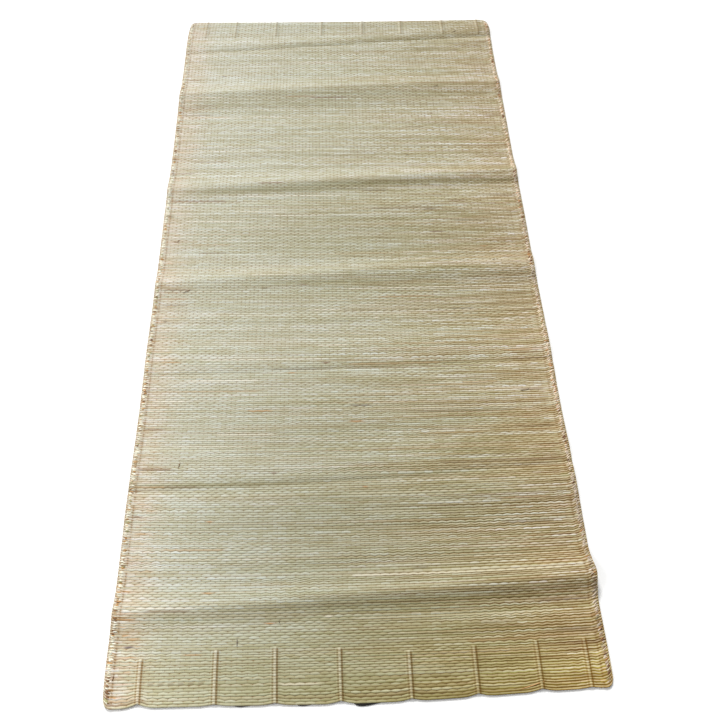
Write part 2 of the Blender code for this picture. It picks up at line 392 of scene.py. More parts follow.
# Loose fibres on the cloth: where each starts, which way it runs in degrees, its length and bend
FIBRE_COLUMNS = ("share", "distance", "heading", "length", "bend", "tone")
FIBRES = (
    (0.2560, 1.7400, 92, 0.0150, 0.15, "purple"),
    (0.3395, 1.7020, 96, 0.0065, 0.20, "dark"),
    (0.1020, 1.4010, 70, 0.0150, 0.90, "brown"),
    (0.6830, 0.5560, 60, 0.0080, 0.20, "dark"),
    (0.8000, 1.8275, 14, 0.0560, 0.12, "orange"),
    (0.7800, 0.2990, 14, 0.0200, 0.50, "brown"),
    (0.8700, 0.0640, 30, 0.0160, 0.70, "dark"),
    (0.0150, 1.7890, 75, 0.0140, 0.40, "brown"),
    (0.9020, 1.2480, 12, 0.0240, 0.50, "dark"),
    (0.0420, 0.8260, 50, 0.0100, 1.10, "brown"),
    (0.8800, 0.9030, 24, 0.0180, 0.30, "cream"),
    (0.0700, 0.9740, 20, 0.0200, 0.40, "brown"),
)
FIBRE_WIDTH = 0.0013
FIBRE_LIFT = 0.0008
FIBRE_BLUNT = 0.1
FIBRE_FLATNESS = 0.6

# Colours of dried sedge, in linear light
GREEN_BEIGE = (0.450, 0.462, 0.360)
CREAM = (0.642, 0.627, 0.538)
TAN = (0.450, 0.345, 0.215)
PINKISH = (0.540, 0.410, 0.310)
OLIVE = (0.345, 0.325, 0.165)
BROWN = (0.190, 0.095, 0.040)
RUST = (0.460, 0.255, 0.095)
# Painted highlight of the ribs' crowns and the tails' crests
CROWN_HIGHLIGHT = (0.680, 0.600, 0.490)
# Painted shade of the troughs, in the middle and at the sides
TROUGH_SHADE_COLOUR = (0.185, 0.092, 0.010)
SIDE_TROUGH_SHADE_COLOUR = (0.220, 0.105, 0.015)
# The same by name, with those of single stems and fibres
TONES = {
    "cream": (0.720, 0.680, 0.570),
    "white dashes": (0.740, 0.720, 0.630),
    "pale": (0.710, 0.690, 0.585),
    "tan": TAN,
    "olive": OLIVE,
    "brown": BROWN,
    "rust": RUST,
    "orange": (0.600, 0.330, 0.150),
    "purple": (0.120, 0.085, 0.095),
    "dark": (0.120, 0.085, 0.045),
    "dark dashes": (0.170, 0.100, 0.045),
}
# The shares of the stem ends' tones, and their red, green and blue factors at the left and the right
END_TONES = (("pale", 0.62), ("olive", 0.06), ("tan", 0.14), ("rust", 0.11), ("brown", 0.07))
END_HUES = ((1.06, 1.05, 1.00), (1.28, 1.08, 0.96))

# Streaks along the stems: their length in warps, a shift that gives them places of their own, between
# which values of noise they come in, and how much they cover at most
STREAKS = {
    "cream": (45, 1.0, 0.42, 0.64, 0.55),
    "olive": (55, 5.0, 0.46, 0.64, 0.75),
    "tan": (40, 9.0, 0.50, 0.68, 0.50),
    "pinkish": (50, 13.0, 0.52, 0.67, 0.50),
    "side pinkish": (6, 15.0, 0.47, 0.62, 0.45),
    "side rust": (4, 17.0, 0.60, 0.74, 0.70),
    "side cream": (7, 27.0, 0.50, 0.64, 0.50),
    "brown": (22, 19.0, 0.56, 0.70, 0.40),
    "pale": (45, 21.0, 0.52, 0.66, 0.40),
}
# The most that brown and pale streaks cover
BROWN_LIMIT = 0.85
PALE_LIMIT = 0.75
# Noise of the shaders: its steps to a warp and to a rib, or to the length and the number of a single
# stem, a shift, and its detail and roughness
GRAINS = {
    "spots": (0.9, 1.7, 3.0, 3.0),
    "fibre": (0.55, 13.0, 7.0, 2.0, 0.6),
    "rows": (0.03, 5.7, 25.0, 1.0),
    "slack": (0.09, 0.71, 31.0),
    "single fibre": (3.0, 5.3, 2.0, 2.0),
}
# Smooth steps of the shaders: between which values each comes in, and its numbers before and after
STEPS = {
    "tan of a stem at the side": (0.1, 0.9, 0.05, 0.60),
    "light of the spots": (0.3, 0.7, 0.92, 1.08),
    "light of the fibre": (0.3, 0.7, -0.08, 0.08),
    "light of a row": (0.34, 0.66, -0.21, 0.21),
    "how floats differ by rib": (0.0, 240.0, 1.3, 1.0),
    "roughness": (0.3, 0.7, 0.50, 0.66),
    "where a float starts to dive": (0.35, 0.65, 0.60, 0.92),
    "relief of a dive by warp": (0.0, 100.0, 0.42, 0.16),
    "inner side of a trough by warp": (0.0, 100.0, 0.26, 0.16),
    "dark of a dive by rib": (0.0, RIBS, 0.58, 0.06),
    # Painted shadows along the edges of a near tail, and the painted highlight on its crest
    "left edge of a tail starts": (-0.74, -0.52),
    "left edge of a tail ends": (-0.34, -0.18, 1.0, 0.0),
    "left edge of a tail, crown to trough": (0.2, 0.9, 0.20, 0.85),
    "right edge of a tail starts": (0.16, 0.32),
    "right edge of a tail ends": (0.50, 0.78, 1.0, 0.0),
    "right edge of a tail, crown to trough": (0.0, 0.9, 0.52, 0.92),
    "crest of a tail": (0.12, 0.32, 1.0, 0.0),
    "left side by warp": (13.0, 1.0),
    "left side by rib": (0.85 * RIBS, RIBS, 1.0, 1.7),
    "right side by warp": (76.0, 99.0),
    "right side by rib": (0.0, RIBS, 0.45, 0.85),
    "crown of a rib": (0.04, 0.34, 1.0, 0.0),
    "height of a float": (0.2, 1.3, 1.0, 0.0),
    "tip of a single stem": (0.5, 1.0, 1.0, 0.55),
    "light of a single stem": (0.3, 0.7, 0.85, 1.12),
}
# The powers of a stem's lightness by which its red, green and blue follow
SHADE_POWERS = (0.72, 0.90, 1.60)
# How far apart two stems lie in the noise, and the seeds of their tan and their light
STEM_APART = 7.31
STEM_TAN_SEED = 2.0
STEM_LIGHT_SEED = 7.0
# How much lighter or darker a stem is, and a float, with and without the depth of the streaks
STEM_LIGHT = 0.16
FLOAT_LIGHT = (0.24, 0.13)
# How sharply a rib falls off, where its painted trough shade is full, how dark the painted shade on
# a low float and the painted shadow along a far tail are and the darkest point is, how much the
# painted highlight on the crest of a tail clears that, and how the left side comes in
RIB_POWER = 2.6
TROUGH_FULL = 0.95
LOW_DARK = 0.14
FAR_TAIL_DARK = 0.40
DARK_MOST = 0.97
CREST_CLEAR = -0.25
LEFT_SIDE_POWER = 1.5
# Where the painted highlight on a rib's far-facing crown lies, and how much of the highlight's colour
# it and the painted highlight on the crest of a tail have
HIGHLIGHT_PLACE = 0.38
HIGHLIGHT_SHARE = 0.26
CREST_SHARE = 0.42
# How far the painted shade and tint is lifted on each of these: bleached pale stems and marks, and
# the painted highlights on the crest of a tail and on the crown of a rib
BLEACH_AND_HIGHLIGHT = {"pale stem": 0.6, "crest": 0.4, "crown": 1.2, "mark": 0.45}
# Surface of waxy dry sedge: shine, the strength of its bump, its reach on the cloth and on a single
# stem, and how much of the bump is the fibre
SHINE = 0.35
BUMP = 0.5
CLOTH_BUMP = 0.0005
SINGLE_BUMP = 0.0003
FIBRE_BUMP = 0.35

# Points of the top grid for each warp and rib, and of the underside's for each rib
TOP_POINTS = 3
UNDER_POINTS = 2
# Layout of a band's bake map: its margin, where the top and the underside start and how tall they
# are, and the rim's four strips between them. How much of its own cell a spindle takes up
BAKE_MARGIN = 0.005
BAKE_TOP = (0.300, 0.695)
BAKE_UNDER = (0.005, 0.250)
BAKE_RIM = (0.292, 0.286)
BAKE_RIM_STEP = 0.008
BAKE_CELL = 0.84

# The plain floor: its reach, its level, its colour and how rough it is
FLOOR_REACH = 8
FLOOR_LEVEL = -0.0004
FLOOR_COLOUR = (0.93, 0.93, 0.925)
FLOOR_ROUGHNESS = 0.9

# The photograph's view: lens, sensor, far limit, shift, place and turn
CAMERA_LENS = 30
CAMERA_SENSOR = 36
CAMERA_CLIP = 50
CAMERA_SHIFT = (-0.0051, 0.0117)
CAMERA_PLACE = (-0.011, -0.8374, 1.212)
CAMERA_TURN = (25.38, -0.88, -2.18)

# Lights: turn, place, strength and size of each, and the strength of the surround
FAR_LIGHT_TURN = (-55, 0, 12)
FAR_LIGHT = 3.6
FAR_LIGHT_ANGLE = 18
LEFT_LIGHT_TURN = (0, -60, 0)
LEFT_LIGHT_PLACE = (-3.0, 0.1, 1.7)
LEFT_LIGHT = 75
LEFT_LIGHT_SIZE = (3.0, 1.4)
SURROUND = 0.40


def by_row(names, rows):
    """The rows of a table, each by its columns' names."""
    return [dict(zip(names, row)) for row in rows]


def by_column(names, rows):
    """The columns of a table as arrays, by their names."""
    return dict(zip(names, map(np.array, zip(*rows))))


def between(ends, share):
    """A straight change from the first end to the second one."""
    return ends[0] + (ends[1] - ends[0]) * share


def across(left, middle, right, share):
    """A smooth line across the mat: the parabola through its left, middle and right values."""
    s = 2 * share - 1
    return middle + s * (right - left) / 2 + s ** 2 * ((left + right) / 2 - middle)


def crest_height(share, distance):
    """Sum of the raised creases: on each flank height * (1 - d / foot)**2, rounded at the top."""
    total = np.zeros(np.broadcast(share, distance).shape)
    for c in by_row(CREST_COLUMNS, CRESTS.values()):
        offset = distance - across(c["left"], c["middle"], c["right"], share)
        high = across(c["high_left"], c["high_middle"], c["high_right"], share)
        rounding = CREST_ROUNDING + CREST_ROUNDING_PER_HEIGHT * high
        reach = np.where(offset < 0, c["far_reach"], c["near_reach"])
        away = np.hypot(offset, rounding) - rounding
        foot = np.hypot(reach, rounding) - rounding
        total = total + high * np.clip(1 - away / foot, 0, 1) ** 2
    return total


def sunk_height(share, distance):
    """Sum of the swells beside the sunk creases: swell * 27/4 * u * (1 - u)**2, u = d / reach."""
    total = np.zeros(np.broadcast(share, distance).shape)
    for c in by_row(SUNK_COLUMNS, SUNK.values()):
        offset = distance - across(c["left"], c["middle"], c["right"], share)
        swells = [(c[end + "_swell_left"], c[end + "_swell_right"]) for end in ("far", "near")]
        swell = np.where(offset < 0, *[between(ends, share) for ends in swells])
        reach = np.where(offset < 0, c["far_reach"], c["near_reach"])
        u = np.clip(np.abs(offset) / reach, 0, 1)
        total = total + swell * SWELL_SCALE * u * (1 - u) ** 2
    return total


def fold_height(share, distance):
    """Height of the mat's underside over the surface it lies on."""
    return crest_height(share, distance) + sunk_height(share, distance)


def corner_cut(from_edge, radius):
    """How far a quarter circle pulls an end back, at a distance from the side."""
    inside = np.clip(radius - from_edge, 0, radius)
    return radius - np.sqrt(radius ** 2 - inside ** 2)


def end_cut(share, near_end):
    """How far one end lies inside the full length: rounded corners, a notch at each tail, the bow."""
    end = "near" if near_end else "far"
    left, right = by_row(CORNER_COLUMNS, [CORNERS[f"{end}_{side}"] for side in ("left", "right")])
    cut = corner_cut(share * WIDTH, left["radius"]) + corner_cut((1 - share) * WIDTH, right["radius"])
    if near_end:
        cut = cut - NEAR_BOW * np.sin(np.pi * share ** NEAR_BOW_LEAN) ** 2
    else:
        cut = cut + FAR_SAG * np.sin(np.pi * share)
    for c in by_row(TAIL_COLUMNS, TAILS):
        depth = c["near_notch"] if near_end else FAR_NOTCH
        aside = np.abs(share - c[end + "_share"]) * WIDTH
        cut = cut + depth * np.clip(1 - aside / NOTCH_REACH, 0, 1) ** 2
    return cut


def side_inset(side, distance):
    """How far one side is drawn in: inset * (1 - d / reach)**2 from each of its corners."""
    far, near = by_column(CORNER_COLUMNS, [CORNERS[f"{end}_{side}"] for end in ("far", "near")])["inset"]
    at_far = np.clip(1 - distance / CORNER_REACH, 0, 1) ** 2
    at_near = np.clip(1 - (LENGTH - distance) / CORNER_REACH, 0, 1) ** 2
    return far * at_far + near * at_near


def plan(share, distance):
    """Plan position: the ends are drawn in by their cut, fading with distance, and the sides wave."""
    far = np.clip(1 - distance / END_REACH, 0, 1)
    near = np.clip(1 - (LENGTH - distance) / END_REACH, 0, 1)
    pulled = distance + end_cut(share, False) * far - end_cut(share, True) * near
    side = np.cos(2 * np.pi * SIDE_WAVES * distance / LENGTH) - 1
    x = (share - 0.5) * (WIDTH + SIDE_WOBBLE * side)
    x = x + side_inset("left", distance) * (1 - share) - side_inset("right", distance) * share
    return x, CENTRE - pulled


def smooth_step(low, high, value):
    """0 below low and 1 above high, joined by t * t * (3 - 2 * t)."""
    t = np.clip((value - low) / (high - low), 0, 1)
    return t * t * (3 - 2 * t)


def soft_noise(seed, x, y, step_x, step_y):
    """Random surface from -1 to 1: random values a step apart, blended by smooth steps."""
    columns, rows = NOISE_TABLE
    table = np.random.default_rng(seed).uniform(-1, 1, NOISE_TABLE)
    gx, gy = x / step_x + 0.5, y / step_y
    ix, iy = np.floor(gx).astype(int), np.floor(gy).astype(int)
    fx, fy = smooth_step(0, 1, gx - ix), smooth_step(0, 1, gy - iy)
    corner = [[table[(ix + i) % columns, (iy + j) % rows] for j in (0, 1)] for i in (0, 1)]
    near = corner[0][0] * (1 - fx) + corner[1][0] * fx
    far = corner[0][1] * (1 - fx) + corner[1][1] * fx
    return near * (1 - fy) + far * fy


def noise_over(name, warp, line):
    """The random surface of one name over the weave."""
    seed, warps, ribs = NOISES[name]
    return soft_noise(seed, warp, line, warps, ribs)


def rib_levels():
    """Mean distance of each line between ribs: running sum of pitches that vary at random."""
    chance = np.random.default_rng(PITCH_SEED).normal(0, 1, RIBS).clip(-PITCH_LIMIT, PITCH_LIMIT)
    pitch = 1 + PITCH_SPREAD * chance
    return np.concatenate([[0], np.cumsum(pitch)]) * LENGTH / pitch.sum()


LEVELS = rib_levels()


def tail_warps(column):
    """Whole warp numbers of the tails at one end, and their shares of the width."""
    shares = by_column(TAIL_COLUMNS, TAILS)[column]
    inner = SELVEDGE_WIDTH / WIDTH
    inside = (shares - inner) / (1 - 2 * inner)
    return np.round(SELVEDGE_WARPS + inside * (WARPS - 2 * SELVEDGE_WARPS)), shares


def warp_share(warp, distance):
    """Share of the width at which a warp lies: through the selvedges and the tails' own places."""
    inner = SELVEDGE_WIDTH / WIDTH
    at_end = []
    for column in ("far_share", "near_share"):
        numbers, shares = tail_warps(column)
        knots = np.concatenate([[0, SELVEDGE_WARPS], numbers, [WARPS - SELVEDGE_WARPS, WARPS]])
        places = np.concatenate([[0, inner], shares, [1 - inner, 1]])
        at_end.append(np.interp(warp, knots, places))
    return between(at_end, distance / LENGTH)


def to_side(warp):
    """Distance in warps to the nearer side."""
    return np.minimum(warp, WARPS - warp)


def rib_line(line, warp):
    """Distance of the line between two ribs where it meets a warp.

    Its mean level plus a swing * cos(pi * warp), which turns round at every warp, plus a slow
    drift and the bend of the ribs there, less the bend's mean, (4 * middle + right) / 6, and the
    slant of the selvedges towards the far end. In a net the swing changes sign from one line to
    the next, and in a wave it doesn't. All but the level and the bend fade at the ends.
    """
    level = LEVELS[line]
    to_end = np.minimum(level, LENGTH - level)
    net = NET_SWING * (1 + NET_CHANGE * noise_over("net", warp, line)) * np.where(line % 2 == 0, -1, 1)
    wave = WAVE_SWING * np.clip(WAVE_GAIN * noise_over("wave", warp, line), -1, 1)
    share = smooth_step(-MIX_REACH, MIX_REACH, noise_over("mix", warp, line))
    swing = net + (wave - net) * share + OWN_SWING * noise_over("own", warp, line)
    drift = DRIFT * noise_over("drift", warp, line) * smooth_step(0, DRIFT_CALM, to_end)
    bends = by_column(BEND_COLUMNS, BENDS)
    middle, right = [np.interp(level, bends["distance"], bends[name]) for name in ("middle", "right")]
    drift = drift + across(0, middle, right, warp / WARPS) - (4 * middle + right) / 6
    slant = np.where(warp < WARPS / 2, *SELVEDGE_SLANT) * np.clip(1 - to_side(warp) / SELVEDGE_WARPS, 0, 1)
    slant = slant * np.clip(to_end / SLANT_CALM, 0, 1)
    return level + swing * np.cos(np.pi * warp) * np.clip(to_end / SWING_CALM, 0, 1) + drift - slant


def nearest_tail(warp, distance):
    """Place beside the nearest tail of that end, in warps and plus to the right, and the tails there.

    The far and the near tails are 1 along their lengths and fall to 0 at their tips.
    """
    warp, distance = np.broadcast_arrays(warp, distance)
    lengths = by_column(TAIL_COLUMNS, TAILS)["near_length"]
    beside = [warp[..., None] - tail_warps(column)[0] for column in ("far_share", "near_share")]
    nearest = [np.abs(offsets).argmin(axis=-1) for offsets in beside]
    far, near = [np.take_along_axis(b, k[..., None], -1)[..., 0] for b, k in zip(beside, nearest)]
    far_tail = np.clip(1 + (FAR_TAIL_LENGTH - distance) / TAIL_TIP, 0, 1)
    near_tail = np.clip(1 + (lengths[nearest[1]] - LENGTH + distance) / TAIL_TIP, 0, 1)
    return np.where(distance < LENGTH / 2, far, near), far_tail, near_tail


def weave_place(warp, rib):
    """The line above a point, its share of the way to the next line, its float, and its distance."""
    line = np.minimum(np.floor(rib + TINY), RIBS - 1).astype(int)
    down = rib - line
    above, below = rib_line(line, warp), rib_line(line + 1, warp)
    thick = (below - above) / (LEVELS[line + 1] - LEVELS[line]) - 1
    return line, down, thick, above + (below - above) * down


def from_middle(warp, line):
    """Distance from the middle of a float in warps: 0 at its middle and 1 where it dives."""
    return np.abs((warp - line + 1) % 2 - 1)


def selvedge_rise(from_edge):
    """Height of a selvedge's welt: rise * sin(pi * u), u the distance from the side over its width."""
    return SELVEDGE_RISE * np.sin(np.pi * np.clip(from_edge / SELVEDGE_WIDTH, 0, 1))


def surface(warp, rib, top):
    """Points of the mat's top or underside over the weave, as an array of x, y and z.

    A float is a pillow: sin(pi * down) * (1 - (1 - seam) * q**4), q the distance from its middle.
    """
    line, down, thick, distance = weave_place(warp, rib)
    share = warp_share(warp, distance)
    x, y = plan(share, distance)
    under = fold_height(share, distance)
    arch = np.sin(np.pi * down)
    if top:
        draw = np.random.default_rng(FLOAT_SEED)
        floats = draw.normal(0, FLOAT_SPREAD, (RIBS, WARPS))
        own = floats[line, np.floor((warp - line + 1) / 2).astype(int) % WARPS]
        own = own + draw.normal(0, RIB_SPREAD, RIBS)[line]
        high = np.clip(1 + LIFT * thick + own, *FLOAT_RANGE)
        pillow = arch * (1 - (1 - SEAM_SHARE) * from_middle(warp, line) ** 4)
        welt = selvedge_rise(np.minimum(share, 1 - share) * WIDTH)
        beside, far_tail, near_tail = nearest_tail(warp, distance)
        ridge = np.maximum(far_tail, near_tail) * np.clip(1 - TAIL_SLOPE * np.abs(beside), 0, 1)
        z = under + THICKNESS + TOP_RELIEF * (pillow * high - 1) + welt + TAIL_RISE * ridge
    else:
        z = under + UNDER_RELIEF * (1 - arch)
    side = np.sign(share - 0.5) * SIDE_BULGE * (arch - SIDE_INSIDE)
    x = x + side * np.clip(1 - to_side(warp) / SIDE_REACH, 0, 1)
    return np.stack([x, y, z], axis=-1)


def from_pits(warp):
    """Distance in warps from the row of pits of the nearer selvedge."""
    return np.abs(to_side(warp) - np.where(warp < WARPS / 2, *PIT_WARPS))


def trough_shading(warp, rib):
    """How dark the painted shade in the nearest trough is, deeper rightwards and nearwards.

    At the left it is a row of dashes, darkest at every other warp, where a float of the farther rib
    shades it, and at the right a nearly even line. Beside the selvedges' pits it is faint.
    """
    line, down, _, distance = weave_place(warp, rib)
    nearest = line + (down > 0.5)
    share = warp / WARPS
    dash = between(TROUGH_SHADING_ROWS, share) * noise_over("row", warp, nearest)
    dash = dash + TROUGH_SHADING_FLOATS * noise_over("dash", warp, nearest)
    dash = dash - between(TROUGH_SHADING_DASHES, share) * np.cos(np.pi * (warp - nearest))
    growth = 1 + between(TROUGH_SHADING_GROWTH, share) * (distance / LENGTH - 0.5)
    shading_by = (TROUGH_SHADING_MEAN + dash) * across(*TROUGH_SHADING_ACROSS, share) * growth
    shading_by = shading_by * (1 - BESIDE_PITS * smooth_step(*BESIDE_PITS_REACH, from_pits(warp)))
    outermost = OUTERMOST * smooth_step(*OUTERMOST_REACH, to_side(warp))
    return np.clip(np.maximum(shading_by, outermost), 0, TROUGH_SHADING_MOST)


def streakiness(warp, rib):
    """How much the stems differ: more to the right, and there more towards the near end."""
    share = warp / WARPS
    along = weave_place(warp, rib)[3] / LENGTH
    return across(*STREAKS_ACROSS, share) * (1 + STREAKS_GROWTH * share * (along - STREAKS_PLACE))


def lowness(warp, rib):
    """How far a float dives under its neighbours, from 0 to 1."""
    _, down, thick, _ = weave_place(warp, rib)
    return np.clip(-LOW_GAIN * thick, 0, 1) * np.sin(np.pi * down)


def gaps(warp, rib):
    """Dark gaps of the selvedges: a row of pits beside the stem ends, and patches between them."""
    line, down, _, distance = weave_place(warp, rib)
    nearest = line + (down > 0.5)
    at_trough = 1 - np.clip(PIT_SHORTNESS * np.minimum(down, 1 - down), 0, 1)
    pit = smooth_step(*PIT_REACH, from_pits(warp)) * at_trough
    pit = pit * (np.random.default_rng(PIT_SEED).uniform(0, 1, RIBS + 1)[nearest] > PITS_MISSING)
    pit = pit * between(PIT_DEPTH, distance / LENGTH)
    depth = PATCH_DEPTH + PATCH_CHANGE * noise_over("patch", warp, line)
    return np.maximum(pit, smooth_step(*PATCH_REACH, to_side(warp)) * depth).clip(0, 1)


def shade_and_tint(share, distance):
    """Painted shade and tint as a red, green and blue factor: a painted falloff of light towards the
    right and the near end with a yellowing hue, and painted shade and light on the crease lines and bands.

    It is 1 - across(left, 1, right, share) * (far + near * (distance / length)**power), less the
    edge's shade, and on a line of painted shade less dark * (1 - u**2)**2, u the distance from the
    line over half its width.
    """
    share, distance = np.broadcast_arrays(share, distance)
    along = (distance[..., None] / LENGTH).clip(0, 1)
    more = np.array(SHADE_FAR) + np.array(SHADE_NEAR) * along ** SHADE_POWER
    tone = 1 - across(SHADE_LEFT, 1, np.array(SHADE_RIGHT), share[..., None]) * more
    tone = tone - np.array(SHADE_EDGE) * np.clip(1 - (1 - along) * LENGTH / SHADE_EDGE_REACH, 0, 1)
    for c in by_row(SHADED_BAND_COLUMNS, SHADED_BANDS):
        u = (distance - across(c["left"], c["middle"], c["right"], share)) / c["half_width"]
        dark = across(c["dark_left"], c["dark_middle"], c["dark_right"], share)
        dark = dark * np.clip(1 - u ** 2, 0, 1) ** 2
        tone = tone * (1 - dark[..., None] * np.array(SHADED_BAND_HUE))
    return np.clip(tone, 0, 1)


def cloth_shade_and_tint(warp, rib):
    """The painted shade and tint over the weave."""
    distance = weave_place(warp, rib)[3]
    return shade_and_tint(warp_share(warp, distance), distance)


def place_marks():
    """Each mark with its tone and its rib: the one that its distance falls in at its middle."""
    tones = [tone for tone, rows in MARKS.items() for row in rows]
    table = np.concatenate(list(MARKS.values())) / MARK_UNITS
    c = dict(zip(MARK_COLUMNS, table.T))
    middle = (c["start"] + c["stop"]) / 2 * WARPS
    ribs = (rib_line(np.arange(RIBS + 1)[:, None], middle) <= c["distance"]).sum(axis=0) - 1
    rows = by_row(MARK_COLUMNS, table)
    return [dict(mark, tone=tone, rib=rib) for mark, tone, rib in zip(rows, tones, ribs)]


PLACED_MARKS = place_marks()


def stains(warp, rib):
    """Colour of the marks at each point and how much they cover, as four numbers.

    A mark covers the two middle rows of its rib, between soft ends, and a dashed one only every
    other warp.
    """
    cover = np.zeros(warp.shape + (4,))
    line = np.floor(rib + TINY)
    inside = np.abs(rib - line - 0.5) < MARK_HALF
    for mark in PLACED_MARKS:
        here = inside & (line == mark["rib"])
        if not here.any():
            continue
        start, stop = mark["start"] * WARPS, mark["stop"] * WARPS
        soft = min(MARK_SOFT, MARK_SOFT_SHARE * (stop - start))
        share = smooth_step(start - soft, start + soft, warp) * smooth_step(stop + soft, stop - soft, warp)
        share = np.where(here, share, 0) * mark["strength"]
        if "dashes" in mark["tone"]:
            share = share * (np.floor(warp) % 2 == mark["rib"] % 2)
        better = share > cover[..., 3]
        cover[better, :3] = TONES[mark["tone"]]
        cover[better, 3] = share[better]
    return cover


def weave_grid(first, last, across_points, rib_points):
    """Warp and rib numbers of a grid over one band: so many steps to each warp and each rib."""
    warp = np.arange(WARPS * across_points + 1) / across_points
    rib = first + np.arange((last - first) * rib_points + 1) / rib_points
    return np.meshgrid(warp, rib)


def grid_faces(index):
    """Four corners of each face of a grid, counter-clockwise from above."""
    corners = (index[:-1, :-1], index[1:, :-1], index[1:, 1:], index[:-1, 1:])
    return np.stack(corners, axis=2).reshape(-1, 4)


def side_faces(upper, lower):
    """Triangles between an upper side and a lower one with one or two steps for each three above."""
    a, b, c, d = upper[:-1:3], upper[1::3], upper[2::3], upper[3::3]
    if len(lower) - 1 == len(a):
        e, g = lower[:-1], lower[1:]
        turns = ((a, e, b), (b, e, g), (b, g, c), (c, g, d))
    else:
        e, f, g = lower[:-1:2], lower[1::2], lower[2::2]
        turns = ((a, e, b), (b, e, f), (b, f, c), (c, f, g), (c, g, d))
    return np.stack([np.stack(turn, axis=1) for turn in turns], axis=1).reshape(-1, 3)


def build_rim(index, index_under):
    """The rim's triangles and their bake map, where each side of the band is a thin strip."""
    faces, places = [], []
    for strip in range(4):
        upper, lower = [
            (grid[0, ::-1], grid[:, 0], grid[-1], grid[::-1, -1])[strip] for grid in (index, index_under)
        ]
        own = side_faces(upper, lower)
        table = np.zeros((index_under.max() + 1, 2))
        for side, level in zip((upper, lower), BAKE_RIM):
            table[side, 0] = np.linspace(2 * BAKE_MARGIN, 1 - 2 * BAKE_MARGIN, len(side))
            table[side, 1] = level - BAKE_RIM_STEP * strip
        faces.append(own)
        places.append(table[own.ravel()])
    return np.concatenate(faces), np.concatenate(places)


def make_mesh(name, points, faces):
    """A mesh object from an array of points and a list of face arrays, one array for each size."""
    mesh = bpy.data.meshes.new(name)
    sizes = np.concatenate([np.full(len(f), f.shape[1]) for f in faces])
    corners = np.concatenate([f.ravel() for f in faces])
    mesh.vertices.add(len(points))
    mesh.vertices.foreach_set("co", np.ascontiguousarray(points, dtype=np.float32).ravel())
    mesh.loops.add(len(corners))
    mesh.loops.foreach_set("vertex_index", corners.astype(np.int32))
    mesh.polygons.add(len(sizes))
    mesh.polygons.foreach_set("loop_start", (np.cumsum(sizes) - sizes).astype(np.int32))
    mesh.update(calc_edges=True)
    mesh.shade_smooth()
    piece = bpy.data.objects.new(name, mesh)
    bpy.context.collection.objects.link(piece)
    return piece


def set_map(mesh, name, places):
    """A map from an array with one row for each corner of each face."""
    layer = mesh.uv_layers.new(name=name)
    layer.uv.foreach_set("vector", np.ascontiguousarray(places, dtype=np.float32).ravel())


def set_value(mesh, name, values):
    """A number at every point."""
    attribute = mesh.attributes.new(name, "FLOAT", "POINT")
    attribute.data.foreach_set("value", np.ascontiguousarray(values, dtype=np.float32).ravel())


def set_colour(mesh, name, values):
    """A colour at every point."""
    attribute = mesh.attributes.new(name, "FLOAT_COLOR", "POINT")
    colours = np.concatenate([values, np.ones((len(values), 1))], axis=1)
    attribute.data.foreach_set("color", np.ascontiguousarray(colours, dtype=np.float32).ravel())


def crisp_lines(mesh, count, width, width_under, first):
    """Edges in the troughs and where floats dive stay sharp, so that every float is a pillow."""
    ends = np.empty(len(mesh.edges) * 2, np.int32)
    mesh.edges.foreach_get("vertices", ends)
    ends = ends.reshape(-1, 2)
    top, under = (ends < count).all(axis=1), (ends >= count).all(axis=1)
    row, column = ends // width, ends % width
    trough = (row[:, 0] == row[:, 1]) & (row[:, 0] % TOP_POINTS == 0)
    line = first + row.min(axis=1) // TOP_POINTS
    dive = (column[:, 0] == column[:, 1]) & (column[:, 0] % TOP_POINTS == 0)
    dive &= (column[:, 0] // TOP_POINTS - line) % 2 == 1
    below = (ends - count) // width_under
    trough_below = (below[:, 0] == below[:, 1]) & (below[:, 0] % UNDER_POINTS == 0)
    outer = (column[:, 0] == column[:, 1]) & (column[:, 0] % (width - 1) == 0)
    sharp = (~top & ~under) | (top & (trough | dive | outer)) | (under & trough_below)
    attribute = mesh.attributes.new("sharp_edge", "BOOLEAN", "EDGE")
    attribute.data.foreach_set("value", sharp)


